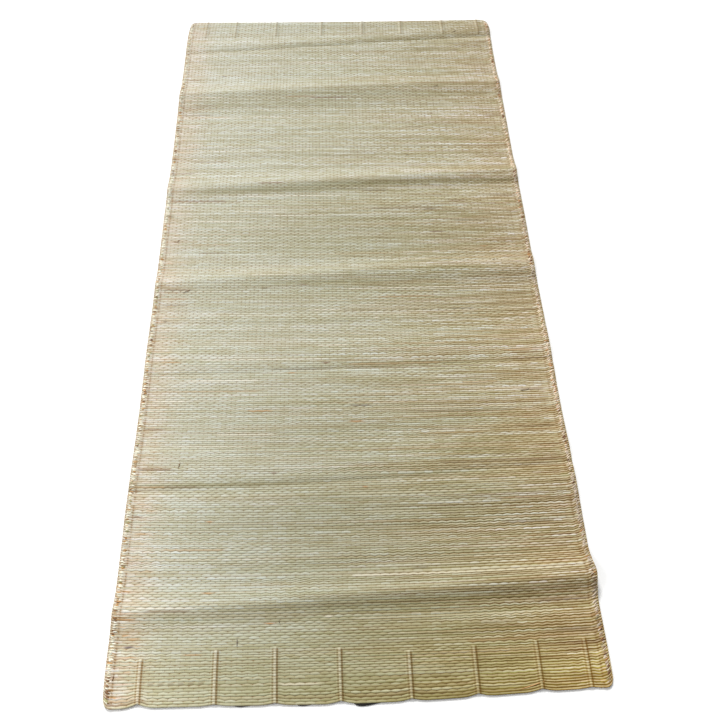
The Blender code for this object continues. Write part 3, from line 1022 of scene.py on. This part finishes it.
def build_band(number):
    """One band of the mat: a grid for the top, a wider-spaced one below, and the rim between."""
    first, last = number * RIBS // BANDS, (number + 1) * RIBS // BANDS
    warp_top, rib_top = weave_grid(first, last, TOP_POINTS, TOP_POINTS)
    warp_under, rib_under = weave_grid(first, last, 1, UNDER_POINTS)
    points = np.concatenate([
        surface(warp_top, rib_top, True).reshape(-1, 3),
        surface(warp_under, rib_under, False).reshape(-1, 3),
    ])
    index = np.arange(warp_top.size).reshape(warp_top.shape)
    index_under = warp_top.size + np.arange(warp_under.size).reshape(warp_under.shape)
    upper = grid_faces(index)
    lower = grid_faces(index_under)[:, ::-1]
    rim, rim_places = build_rim(index, index_under)
    band = make_mesh(f"woven_band_{number + 1}", points, [upper, lower, rim])
    mesh = band.data

    # The underside's floats lie a warp beside those of the top
    warp = np.concatenate([warp_top.ravel(), warp_under.ravel() + 1])
    rib = np.concatenate([rib_top.ravel(), rib_under.ravel()])
    corners = np.concatenate([upper.ravel(), lower.ravel(), rim.ravel()])
    set_map(mesh, "weave", np.stack([warp, rib], axis=1)[corners])
    height = (rib - first) / (last - first)
    over = np.arange(len(points)) < warp_top.size
    bake_x = BAKE_MARGIN + (1 - 2 * BAKE_MARGIN) * np.where(over, warp, warp - 1) / WARPS
    bake_y = np.where(over, *[start + tall * height for start, tall in (BAKE_TOP, BAKE_UNDER)])
    bake = np.stack([bake_x, bake_y], axis=1)[np.concatenate([upper.ravel(), lower.ravel()])]
    set_map(mesh, "OFBake", np.concatenate([bake, rim_places]))

    beside, far_tail, near_tail = nearest_tail(warp_top, weave_place(warp_top, rib_top)[3])
    stain = stains(warp_top, rib_top)
    # Values at the points, the first of them the painted shade of the troughs
    for name, values, under in (
        ("shaded_trough", trough_shading(warp_top, rib_top), UNDER_TROUGH_SHADING),
        ("low", lowness(warp_top, rib_top), UNDER_LOW),
        ("gap", gaps(warp_top, rib_top), 0),
        ("streaks", streakiness(warp_top, rib_top), UNDER_STREAKS),
        ("beside", beside, 0),
        ("far_tail", far_tail, 0),
        ("near_tail", near_tail, 0),
        ("stained", stain[..., 3], 0),
    ):
        set_value(mesh, name, np.concatenate([values.ravel(), np.full(warp_under.size, under)]))
    # The colour attribute tone holds the painted shade and tint of the top and the underside
    set_colour(mesh, "tone", np.concatenate([
        cloth_shade_and_tint(warp_top, rib_top).reshape(-1, 3), cloth_shade_and_tint(warp_under, rib_under).reshape(-1, 3)
    ]))
    set_colour(mesh, "stain", np.concatenate([stain[..., :3].reshape(-1, 3), np.zeros((warp_under.size, 3))]))
    crisp_lines(mesh, warp_top.size, warp_top.shape[1], warp_under.shape[1], first)
    return band


def build_spindles(name, centre, width, height, colours):
    """Closed four-sided spindles: a ring of four points at each inner point, one point at each end.

    Centre, width and height hold a row for each spindle. A ring is centre + cos(a) * width across
    its run + sin(a) * height upwards at quarter turns a.
    """
    count, steps = centre.shape[:2]
    run = centre[:, -1] - centre[:, 0]
    flat = np.cross((0, 0, 1.0), run / np.linalg.norm(run, axis=1, keepdims=True))
    turn = np.arange(4)[None, None, :, None] * np.pi / 2
    aside = np.cos(turn) * flat[:, None, None, :] * width[:, 1:-1, None, None]
    rise = np.sin(turn) * np.array((0, 0, 1.0)) * height[:, 1:-1, None, None]
    rings = (centre[:, 1:-1, None, :] + aside + rise).reshape(count, -1, 3)
    points = np.concatenate([centre[:, :1], rings, centre[:, -1:]], axis=1)

    ring = 1 + 4 * np.arange(steps - 2)[:, None] + np.arange(4)
    after = np.roll(ring, -1, axis=1)
    first, last = np.zeros(4, int), np.full(4, 4 * (steps - 2) + 1)
    turns = [(first, after[0], ring[0]), (last, ring[-1], after[-1])]
    for low in range(steps - 3):
        turns += [(ring[low], after[low], after[low + 1]), (ring[low], after[low + 1], ring[low + 1])]
    one = np.concatenate([np.stack(corners, axis=1) for corners in turns])
    faces = (one[None] + points.shape[1] * np.arange(count)[:, None, None]).reshape(-1, 3)
    piece = make_mesh(name, points.reshape(-1, 3), [faces])

    length = np.concatenate([[0], np.repeat(np.arange(1, steps - 1), 4), [steps - 1]]) / (steps - 1)
    girth = np.concatenate([[0.5], np.tile(np.arange(4) / 4, steps - 2), [0.5]])
    number = np.arange(count)
    columns = int(np.ceil(np.sqrt(count)))
    corner = np.stack([number % columns, number // columns], axis=1)
    cell = (0.5 + BAKE_CELL * (np.stack([length, girth], axis=1) - 0.5))[one.ravel()]
    look = np.stack(np.broadcast_arrays(length[one.ravel()], number[:, None]), axis=2)
    set_map(piece.data, "stem", look.reshape(-1, 2))
    set_map(piece.data, "OFBake", ((corner[:, None] + cell) / columns).reshape(-1, 2))
    set_colour(piece.data, "tone", np.repeat(colours, points.shape[1], axis=0))
    return piece


def blunt(step, share):
    """Fullness of a spindle from tip to tip: sin(pi * u), u from share to 1 - share."""
    return np.sin(np.pi * (share + (1 - 2 * share) * step))


def build_ends(name, side):
    """Stem ends folded back on one selvedge: spindles from its inner line out and up to the edge.

    Side is 0 at the left and 1 at the right. Each lies on the cloth: its middle stands clear and
    its tips sink in. The tones come by chance, with brown and rust in patches and at the near
    corner.
    """
    draw = np.random.default_rng(END_SEED + side)
    count = int(RIBS * ENDS_PER_RIB)

    def chance(name, shape=count):
        return draw.uniform(*END_CHANCE[name], shape)

    step = np.array(END_STEPS)
    level = LENGTH * (np.arange(count) + 0.5 + chance("level")) / count
    level = level.clip(END_MARGIN[0], LENGTH - END_MARGIN[1])
    inner = END_INNER * chance("inner")
    outer = inner - (inner - END_OUTER) * chance("length")
    from_edge = inner[:, None] + (outer - inner)[:, None] * step
    share = from_edge / WIDTH if side == 0 else 1 - from_edge / WIDTH
    slant = END_SLANT[side] * chance("slant") * np.interp(level, END_CALM, (0, 1))
    distance = level[:, None] - slant[:, None] * step
    top = fold_height(share, distance) + THICKNESS + selvedge_rise(from_edge)
    full = blunt(step, END_BLUNT) ** END_BLUNT_POWER * chance("size")[:, None]
    x, y = plan(share, distance)
    centre = np.stack([x, y, top + END_LIFT * (np.sin(np.pi * step) - 1)], axis=-1)

    shares = np.cumsum([part for tone, part in END_TONES])
    luck = draw.uniform(0, 1, count)
    luck = luck + END_PATCH * soft_noise(END_PATCH_SEED + side, level * 0, level / END_PATCH_LENGTH, 1, 1)
    luck = luck + END_CORNER * smooth_step(*(LENGTH - reach for reach in END_CORNER_REACH), level)
    kind = np.searchsorted(shares[:-1], luck.clip(0, 1))
    colours = np.array([TONES[tone] for tone, part in END_TONES])[kind] * chance("light", (count, 1))
    # The ends take the green factor of the painted shade and tint
    colours = colours * shade_and_tint(share[:, 2], distance[:, 2])[:, 1:2] * np.array(END_HUES[side])
    return build_spindles(name, centre, END_WIDTH / 2 * full, END_HEIGHT * full, colours)


def build_fibres():
    """Loose fibres that lie on the cloth: spindles along arcs, start + length * (cos, sin)."""
    c = by_column(FIBRE_COLUMNS, FIBRES)
    step = np.linspace(0, 1, 8)
    heading = np.radians(c["heading"])[:, None] + c["bend"][:, None] * (step - 0.5)
    reach = c["length"][:, None] / (len(step) - 1)
    x = (c["share"][:, None] - 0.5) * WIDTH + np.cumsum(np.cos(heading) * reach, axis=1)
    y = CENTRE - c["distance"][:, None] + np.cumsum(np.sin(heading) * reach, axis=1)
    share, distance = x / WIDTH + 0.5, CENTRE - y
    z = fold_height(share, distance) + THICKNESS + FIBRE_LIFT * np.sin(np.pi * step)
    full = FIBRE_WIDTH / 2 * blunt(step, FIBRE_BLUNT) * np.ones((len(FIBRES), 1))
    colours = np.array([TONES[tone] for tone in c["tone"]])
    return build_spindles("loose_fibres", np.stack([x, y, z], axis=-1), full, FIBRE_FLATNESS * full, colours)


def build_edge_shadows():
    """A painted shadow where the near edge gapes: dark flat spindles along the edge.

    Each is widest a third of the way along: reach * sin(pi * step**0.6).
    """
    c = {name: values[:, None] for name, values in by_column(EDGE_SHADOW_COLUMNS, EDGE_SHADOWS).items()}
    step = np.linspace(0, 1, 12)
    share = c["start"] + (c["stop"] - c["start"]) * step
    x, y = plan(share, np.full(share.shape, LENGTH))
    full = c["reach"] * np.sin(np.pi * step ** 0.6).clip(0, 1)
    centre = np.stack([x, y - (1 - EDGE_SHADOW_SHARE) * full, np.full(x.shape, EDGE_SHADOW_HEIGHT + EDGE_SHADOW_CLEAR)], axis=-1)
    height = np.minimum(full, EDGE_SHADOW_HEIGHT)
    return build_spindles("near_edge_shadow", centre, EDGE_SHADOW_SHARE * full, height, c["grey"] * np.array(EDGE_SHADOW_TINT))


def build_floor():
    """Plain pale floor: a flat grid just under the mat."""
    row = np.linspace(-FLOOR_REACH, FLOOR_REACH, 9)
    x, y = np.meshgrid(row, -row)
    points = np.stack([x, y, np.full(x.shape, FLOOR_LEVEL)], axis=-1).reshape(-1, 3)
    floor = make_mesh("floor", points, [grid_faces(np.arange(x.size).reshape(x.shape))])
    material, n, shader = new_material("pale floor")
    n.put(shader.inputs["Base Color"], FLOOR_COLOUR)
    shader.inputs["Roughness"].default_value = FLOOR_ROUGHNESS
    floor.data.materials.append(material)


class Nodes:
    """Adds and joins the nodes of one node tree."""

    def __init__(self, tree):
        self.tree = tree

    def put(self, socket, value):
        """Joins an output to an input, or sets the input to a number or a colour."""
        if isinstance(value, bpy.types.NodeSocket):
            self.tree.links.new(value, socket)
        elif value is not None:
            socket.default_value = (*value, 1) if isinstance(value, tuple) else value

    def add(self, kind, **settings):
        """A node of one kind, with its settings."""
        node = self.tree.nodes.new(kind)
        for name, value in settings.items():
            setattr(node, name, value)
        return node

    def math(self, operation, first, second=None, third=None):
        """One step of arithmetic."""
        node = self.add("ShaderNodeMath", operation=operation)
        for socket, value in zip(node.inputs, (first, second, third)):
            self.put(socket, value)
        return node.outputs[0]

    def times(self, first, second):
        """The product of two values."""
        return self.math("MULTIPLY", first, second)

    def plus(self, first, second):
        """The sum of two values."""
        return self.math("ADD", first, second)

    def line(self, value, slope, start):
        """slope * value + start."""
        return self.math("MULTIPLY_ADD", value, slope, start)

    def larger(self, first, second):
        """The larger of two values."""
        return self.math("MAXIMUM", first, second)

    def smaller(self, first, second):
        """The smaller of two values."""
        return self.math("MINIMUM", first, second)

    def ramp(self, value, low, high, start=0.0, end=1.0):
        """start below low and end above high, with a smooth step between."""
        node = self.add("ShaderNodeMapRange", interpolation_type="SMOOTHSTEP")
        names = ("Value", "From Min", "From Max", "To Min", "To Max")
        for name, part in zip(names, (value, low, high, start, end)):
            self.put(node.inputs[name], part)
        return node.outputs["Result"]

    def step(self, value, name):
        """A smooth step of the table STEPS."""
        return self.ramp(value, *STEPS[name])

    def blend(self, share, first, second, kind="MIX"):
        """Two colours mixed, or multiplied, by a share."""
        node = self.add("ShaderNodeMix", data_type="RGBA", blend_type=kind)
        self.put(node.inputs["Factor"], share)
        self.put(node.inputs[6], first)
        self.put(node.inputs[7], second)
        return node.outputs[2]

    def noise(self, x, y, z, detail=2.0, roughness=0.5):
        """Soft noise at a place given by three numbers, a scale of 1 to the unit."""
        place = self.add("ShaderNodeCombineXYZ")
        for socket, value in zip(place.inputs, (x, y, z)):
            self.put(socket, value)
        node = self.add("ShaderNodeTexNoise", noise_dimensions="3D")
        self.put(node.inputs["Vector"], place.outputs[0])
        self.put(node.inputs["Scale"], 1.0)
        self.put(node.inputs["Detail"], detail)
        self.put(node.inputs["Roughness"], roughness)
        return node.outputs["Fac"]

    def grain(self, name, x, y):
        """A noise of the table GRAINS at a place given by two numbers."""
        step_x, step_y, *others = GRAINS[name]
        return self.noise(self.times(x, step_x), self.times(y, step_y), *others)

    def attribute(self, name, output="Fac"):
        """A value that the mesh holds at its points."""
        return self.add("ShaderNodeAttribute", attribute_name=name).outputs[output]

    def places(self, name):
        """The two numbers of a map."""
        split = self.add("ShaderNodeSeparateXYZ")
        self.put(split.inputs[0], self.add("ShaderNodeUVMap", uv_map=name).outputs[0])
        return split.outputs[0], split.outputs[1]

    def shade(self, value):
        """A shade of one value: brownish where it is low, since blue follows it the most."""
        node = self.add("ShaderNodeCombineColor")
        for socket, power in zip(node.inputs, SHADE_POWERS):
            self.put(socket, self.math("POWER", value, power))
        return node.outputs[0]

    def chance(self, value, seed):
        """A random number from 0 to 1 that belongs to a whole number."""
        node = self.add("ShaderNodeTexWhiteNoise", noise_dimensions="2D")
        place = self.add("ShaderNodeCombineXYZ")
        self.put(place.inputs[0], value)
        self.put(place.inputs[1], seed)
        self.put(node.inputs["Vector"], place.outputs[0])
        return node.outputs["Value"]


def new_material(name):
    """A material with the nodes of its tree and its shader."""
    material = bpy.data.materials.new(name)
    material.use_nodes = True
    return material, Nodes(material.node_tree), material.node_tree.nodes["Principled BSDF"]


def new_group(name, inputs, outputs):
    """An empty node group with named number and colour sockets, and its two end nodes."""
    group = bpy.data.node_groups.new(name, "ShaderNodeTree")
    for direction, sockets in (("INPUT", inputs), ("OUTPUT", outputs)):
        for socket, kind, value in sockets:
            made = group.interface.new_socket(socket, in_out=direction, socket_type=kind)
            if value is not None:
                made.default_value = value
    nodes = Nodes(group)
    return group, nodes, nodes.add("NodeGroupInput"), nodes.add("NodeGroupOutput")


NUMBER = "NodeSocketFloat"
COLOUR = "NodeSocketColor"


def stem_group():
    """Colour and fibre of dried sedge stems.

    Along is the place along a stem in warps, Rib the place across the stems in ribs, Stem the
    number of a stem, and Float a random number from 0 to 1 for each float. Each stem mixes
    green-beige with cream, olive, tan and pinkish by noise that is stretched along it. Side, from
    0 to 1, brings in the tan and rust of stem ends, and Depth says how much the streaks show. Pale
    is how bleached a stem is.
    """
    group, n, given, result = new_group(
        "sedge stems",
        [(name, NUMBER, 0) for name in ("Along", "Rib", "Stem", "Float", "Side", "Depth")],
        [("Colour", COLOUR, None), ("Fibre", NUMBER, None), ("Pale", NUMBER, None)],
    )
    along, rib, stem, own, side, depth = (given.outputs[k] for k in range(6))
    apart = n.times(stem, STEM_APART)

    def streak(name, share):
        step, shift, low, high, most = STREAKS[name]
        value = n.noise(n.times(along, 1 / step), apart, shift, 1.0)
        return n.times(share, n.ramp(value, low, high, 0.0, most))

    def spread(value, width):
        return n.line(n.math("SUBTRACT", value, 0.5), width, 1.0)

    colour = n.blend(streak("cream", depth), GREEN_BEIGE, CREAM)
    colour = n.blend(streak("olive", depth), colour, OLIVE)
    tanned = n.times(side, n.step(n.chance(stem, STEM_TAN_SEED), "tan of a stem at the side"))
    tanned = n.plus(streak("tan", depth), tanned)
    colour = n.blend(n.smaller(tanned, 1.0), colour, TAN)
    pink = n.plus(streak("pinkish", depth), streak("side pinkish", side))
    colour = n.blend(n.smaller(pink, 1.0), colour, PINKISH)
    colour = n.blend(streak("side rust", side), colour, RUST)
    colour = n.blend(streak("side cream", side), colour, CREAM)
    colour = n.blend(n.smaller(streak("brown", depth), BROWN_LIMIT), colour, BROWN)
    pale = n.smaller(streak("pale", depth), PALE_LIMIT)
    colour = n.blend(pale, colour, CREAM)

    fibre = n.grain("fibre", along, rib)
    spots = n.step(n.grain("spots", along, rib), "light of the spots")
    light = n.plus(spots, n.step(fibre, "light of the fibre"))
    light = n.times(light, spread(n.chance(stem, STEM_LIGHT_SEED), n.times(depth, STEM_LIGHT)))
    row = n.step(n.grain("rows", along, n.math("FLOOR", rib)), "light of a row")
    light = n.times(light, n.plus(n.times(row, depth), 1.0))
    differ = n.times(n.line(depth, *FLOAT_LIGHT), n.step(rib, "how floats differ by rib"))
    light = n.times(light, spread(own, differ))
    colour = n.blend(1.0, colour, n.shade(light), "MULTIPLY")
    n.put(result.inputs["Colour"], colour)
    n.put(result.inputs["Fibre"], fibre)
    n.put(result.inputs["Pale"], pale)
    return group


def place_group(n, group, values):
    """A node group in a material, with its inputs set or joined."""
    node = n.add("ShaderNodeGroup", node_tree=group)
    for name, value in values.items():
        n.put(node.inputs[name], value)
    return node


def finish_sedge(n, shader, colour, fibre, height, reach):
    """Joins colour, roughness and a small bump to a shader of waxy dry sedge."""
    n.put(shader.inputs["Base Color"], colour)
    n.put(shader.inputs["Roughness"], n.step(fibre, "roughness"))
    bump = n.add("ShaderNodeBump")
    bump.inputs["Strength"].default_value = BUMP
    bump.inputs["Distance"].default_value = reach
    n.put(bump.inputs["Height"], height)
    n.put(shader.inputs["Normal"], bump.outputs[0])
    shader.inputs["Specular IOR Level"].default_value = SHINE


def woven_sedge(stems):
    """The cloth: floats of sedge with painted shade in the troughs and the pits at their corners,
    painted highlights on the ribs' crowns and the tails' crests, and fine fibre.

    Across a float and along it the distance from its middle runs from 0 to 1, and the sum of their
    powers grows to 1 at the troughs and further at the pits where four floats meet.
    """
    material, n, shader = new_material("woven sedge")
    warp, rib = n.places("weave")
    rib_number = n.math("FLOOR", rib)
    within = n.math("FRACT", rib)
    aside = n.math("ABSOLUTE", n.line(within, 2.0, -1.0))
    stem = n.line(rib_number, 2.0, n.math("GREATER_THAN", within, 0.5))
    past = n.math("SUBTRACT", warp, rib_number)
    away = n.math("PINGPONG", past, 1.0)
    own = n.chance(n.math("FLOOR", n.line(past, 0.5, 0.5)), rib_number)
    slack = n.step(n.grain("slack", warp, rib_number), "where a float starts to dive")
    dive = n.ramp(away, slack, 1.0)
    diving = n.times(dive, n.step(warp, "relief of a dive by warp"))
    rim = n.plus(n.math("POWER", aside, RIB_POWER), diving)

    # Painted shade in the troughs between the ribs
    trough = n.ramp(rim, n.step(warp, "inner side of a trough by warp"), TROUGH_FULL)
    dark = n.times(trough, n.attribute("shaded_trough"))
    # Painted shade on low floats and where floats dive
    dark = n.line(n.attribute("low"), LOW_DARK, dark)
    dark = n.line(dive, n.step(rib, "dark of a dive by rib"), dark)
    dark = n.plus(dark, n.attribute("gap"))

    # Painted shadows beside the near tails' ridges and along the far tails, and a painted highlight on the
    # crest
    beside, near_tail = n.attribute("beside"), n.attribute("near_tail")
    edges = []
    for name in ("left edge of a tail", "right edge of a tail"):
        edge = n.times(n.step(beside, name + " starts"), n.step(beside, name + " ends"))
        edges.append(n.times(edge, n.step(aside, name + ", crown to trough")))
    middle = n.step(n.math("ABSOLUTE", beside), "crest of a tail")
    crest = n.times(near_tail, middle)
    far_edge = n.times(n.attribute("far_tail"), n.times(middle, FAR_TAIL_DARK))
    edge = n.larger(n.times(near_tail, n.larger(*edges)), far_edge)
    dark = n.smaller(n.larger(dark, edge), DARK_MOST)
    dark = n.times(dark, n.line(crest, CREST_CLEAR, 1.0))

    right_side = n.times(n.step(warp, "right side by warp"), n.step(rib, "right side by rib"))
    left_side = n.math("POWER", n.step(warp, "left side by warp"), LEFT_SIDE_POWER)
    left_side = n.times(left_side, n.step(rib, "left side by rib"))
    side = n.plus(left_side, right_side)
    depth = n.attribute("streaks")
    given = {"Along": warp, "Rib": rib, "Stem": stem, "Float": own, "Side": side, "Depth": depth}
    sedge = place_group(n, stems, given)
    stained = n.attribute("stained")
    colour = n.blend(stained, sedge.outputs["Colour"], n.attribute("stain", "Color"))
    # Painted highlight on the far-facing crown of each rib and on the crest of a tail
    crown = n.step(n.math("ABSOLUTE", n.math("SUBTRACT", within, HIGHLIGHT_PLACE)), "crown of a rib")
    crown = n.times(crown, n.times(depth, HIGHLIGHT_SHARE))
    colour = n.blend(n.larger(crown, n.times(crest, CREST_SHARE)), colour, CROWN_HIGHLIGHT)
    # The dark share mixes in the colour of the troughs' painted shade
    colour = n.blend(dark, colour, n.blend(side, TROUGH_SHADE_COLOUR, SIDE_TROUGH_SHADE_COLOUR))
    # Bleached pale stems and marks, and the painted highlights, lift the painted shade and tint
    pale = n.times(sedge.outputs["Pale"], BLEACH_AND_HIGHLIGHT["pale stem"])
    for name, value in (("crest", crest), ("crown", crown), ("mark", stained)):
        pale = n.larger(pale, n.times(value, BLEACH_AND_HIGHLIGHT[name]))
    pale = n.times(pale, n.line(dark, -1.0, 1.0))
    tone = n.blend(pale, n.attribute("tone", "Color"), (1.0, 1.0, 1.0))
    colour = n.blend(1.0, colour, tone, "MULTIPLY")
    fibre = sedge.outputs["Fibre"]
    height = n.line(fibre, FIBRE_BUMP, n.step(rim, "height of a float"))
    finish_sedge(n, shader, colour, fibre, height, CLOTH_BUMP)
    return material


def single_sedge():
    """Single stem ends, fibres and the painted edge shadow, each in its own tone, darker towards its tips."""
    material, n, shader = new_material("single sedge stems")
    length, number = n.places("stem")
    tip = n.step(n.math("ABSOLUTE", n.line(length, 2.0, -1.0)), "tip of a single stem")
    fibre = n.grain("single fibre", length, number)
    light = n.times(tip, n.step(fibre, "light of a single stem"))
    colour = n.blend(1.0, n.attribute("tone", "Color"), n.shade(light), "MULTIPLY")
    finish_sedge(n, shader, colour, fibre, fibre, SINGLE_BUMP)
    return material


def hold(piece, material):
    """Gives a piece its material and makes it a part of the mat."""
    piece.data.materials.append(material)
    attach(piece, "root")
    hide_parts("mat")


def dress():
    stems = stem_group()
    cloth = woven_sedge(stems)
    single = single_sedge()
    ends = [build_ends("stem_ends_left", 0), build_ends("stem_ends_right", 1)]
    for piece in ends + [build_fibres(), build_edge_shadows()]:
        hold(piece, single)
    for number in range(BANDS):
        band = build_band(number)
        hold(band, cloth)


def place_camera():
    """The photograph's view, from above the near end."""
    data = bpy.data.cameras.new("camera")
    data.lens, data.sensor_width, data.clip_end = CAMERA_LENS, CAMERA_SENSOR, CAMERA_CLIP
    data.shift_x, data.shift_y = CAMERA_SHIFT
    camera = bpy.data.objects.new("camera", data)
    camera.location = CAMERA_PLACE
    camera.rotation_euler = np.radians(CAMERA_TURN)
    bpy.context.collection.objects.link(camera)
    bpy.context.scene.camera = camera


def place_light(name, kind, turn, place=(0, 0, 0), **settings):
    """A light at a place, turned by degrees, with its own settings."""
    data = bpy.data.lights.new(name, kind)
    for setting, value in settings.items():
        setattr(data, setting, value)
    light = bpy.data.objects.new(name, data)
    light.location, light.rotation_euler = place, np.radians(turn)
    bpy.context.collection.objects.link(light)


def place_lights():
    """A low soft light beyond the far end, a weaker wide one at the left, and a pale surround."""
    place_light("far window", "SUN", FAR_LIGHT_TURN, energy=FAR_LIGHT, angle=np.radians(FAR_LIGHT_ANGLE))
    wide, tall = LEFT_LIGHT_SIZE
    place_light(
        "left window", "AREA", LEFT_LIGHT_TURN, LEFT_LIGHT_PLACE,
        energy=LEFT_LIGHT, shape="RECTANGLE", size=wide, size_y=tall,
    )
    world = bpy.data.worlds.new("surround")
    world.use_nodes = True
    background = world.node_tree.nodes["Background"]
    background.inputs["Color"].default_value = (1, 1, 1, 1)
    background.inputs["Strength"].default_value = SURROUND
    bpy.context.scene.world = world
    bpy.context.scene.view_settings.view_transform = "Standard"


place_camera()
dress()
build_floor()
place_lights()
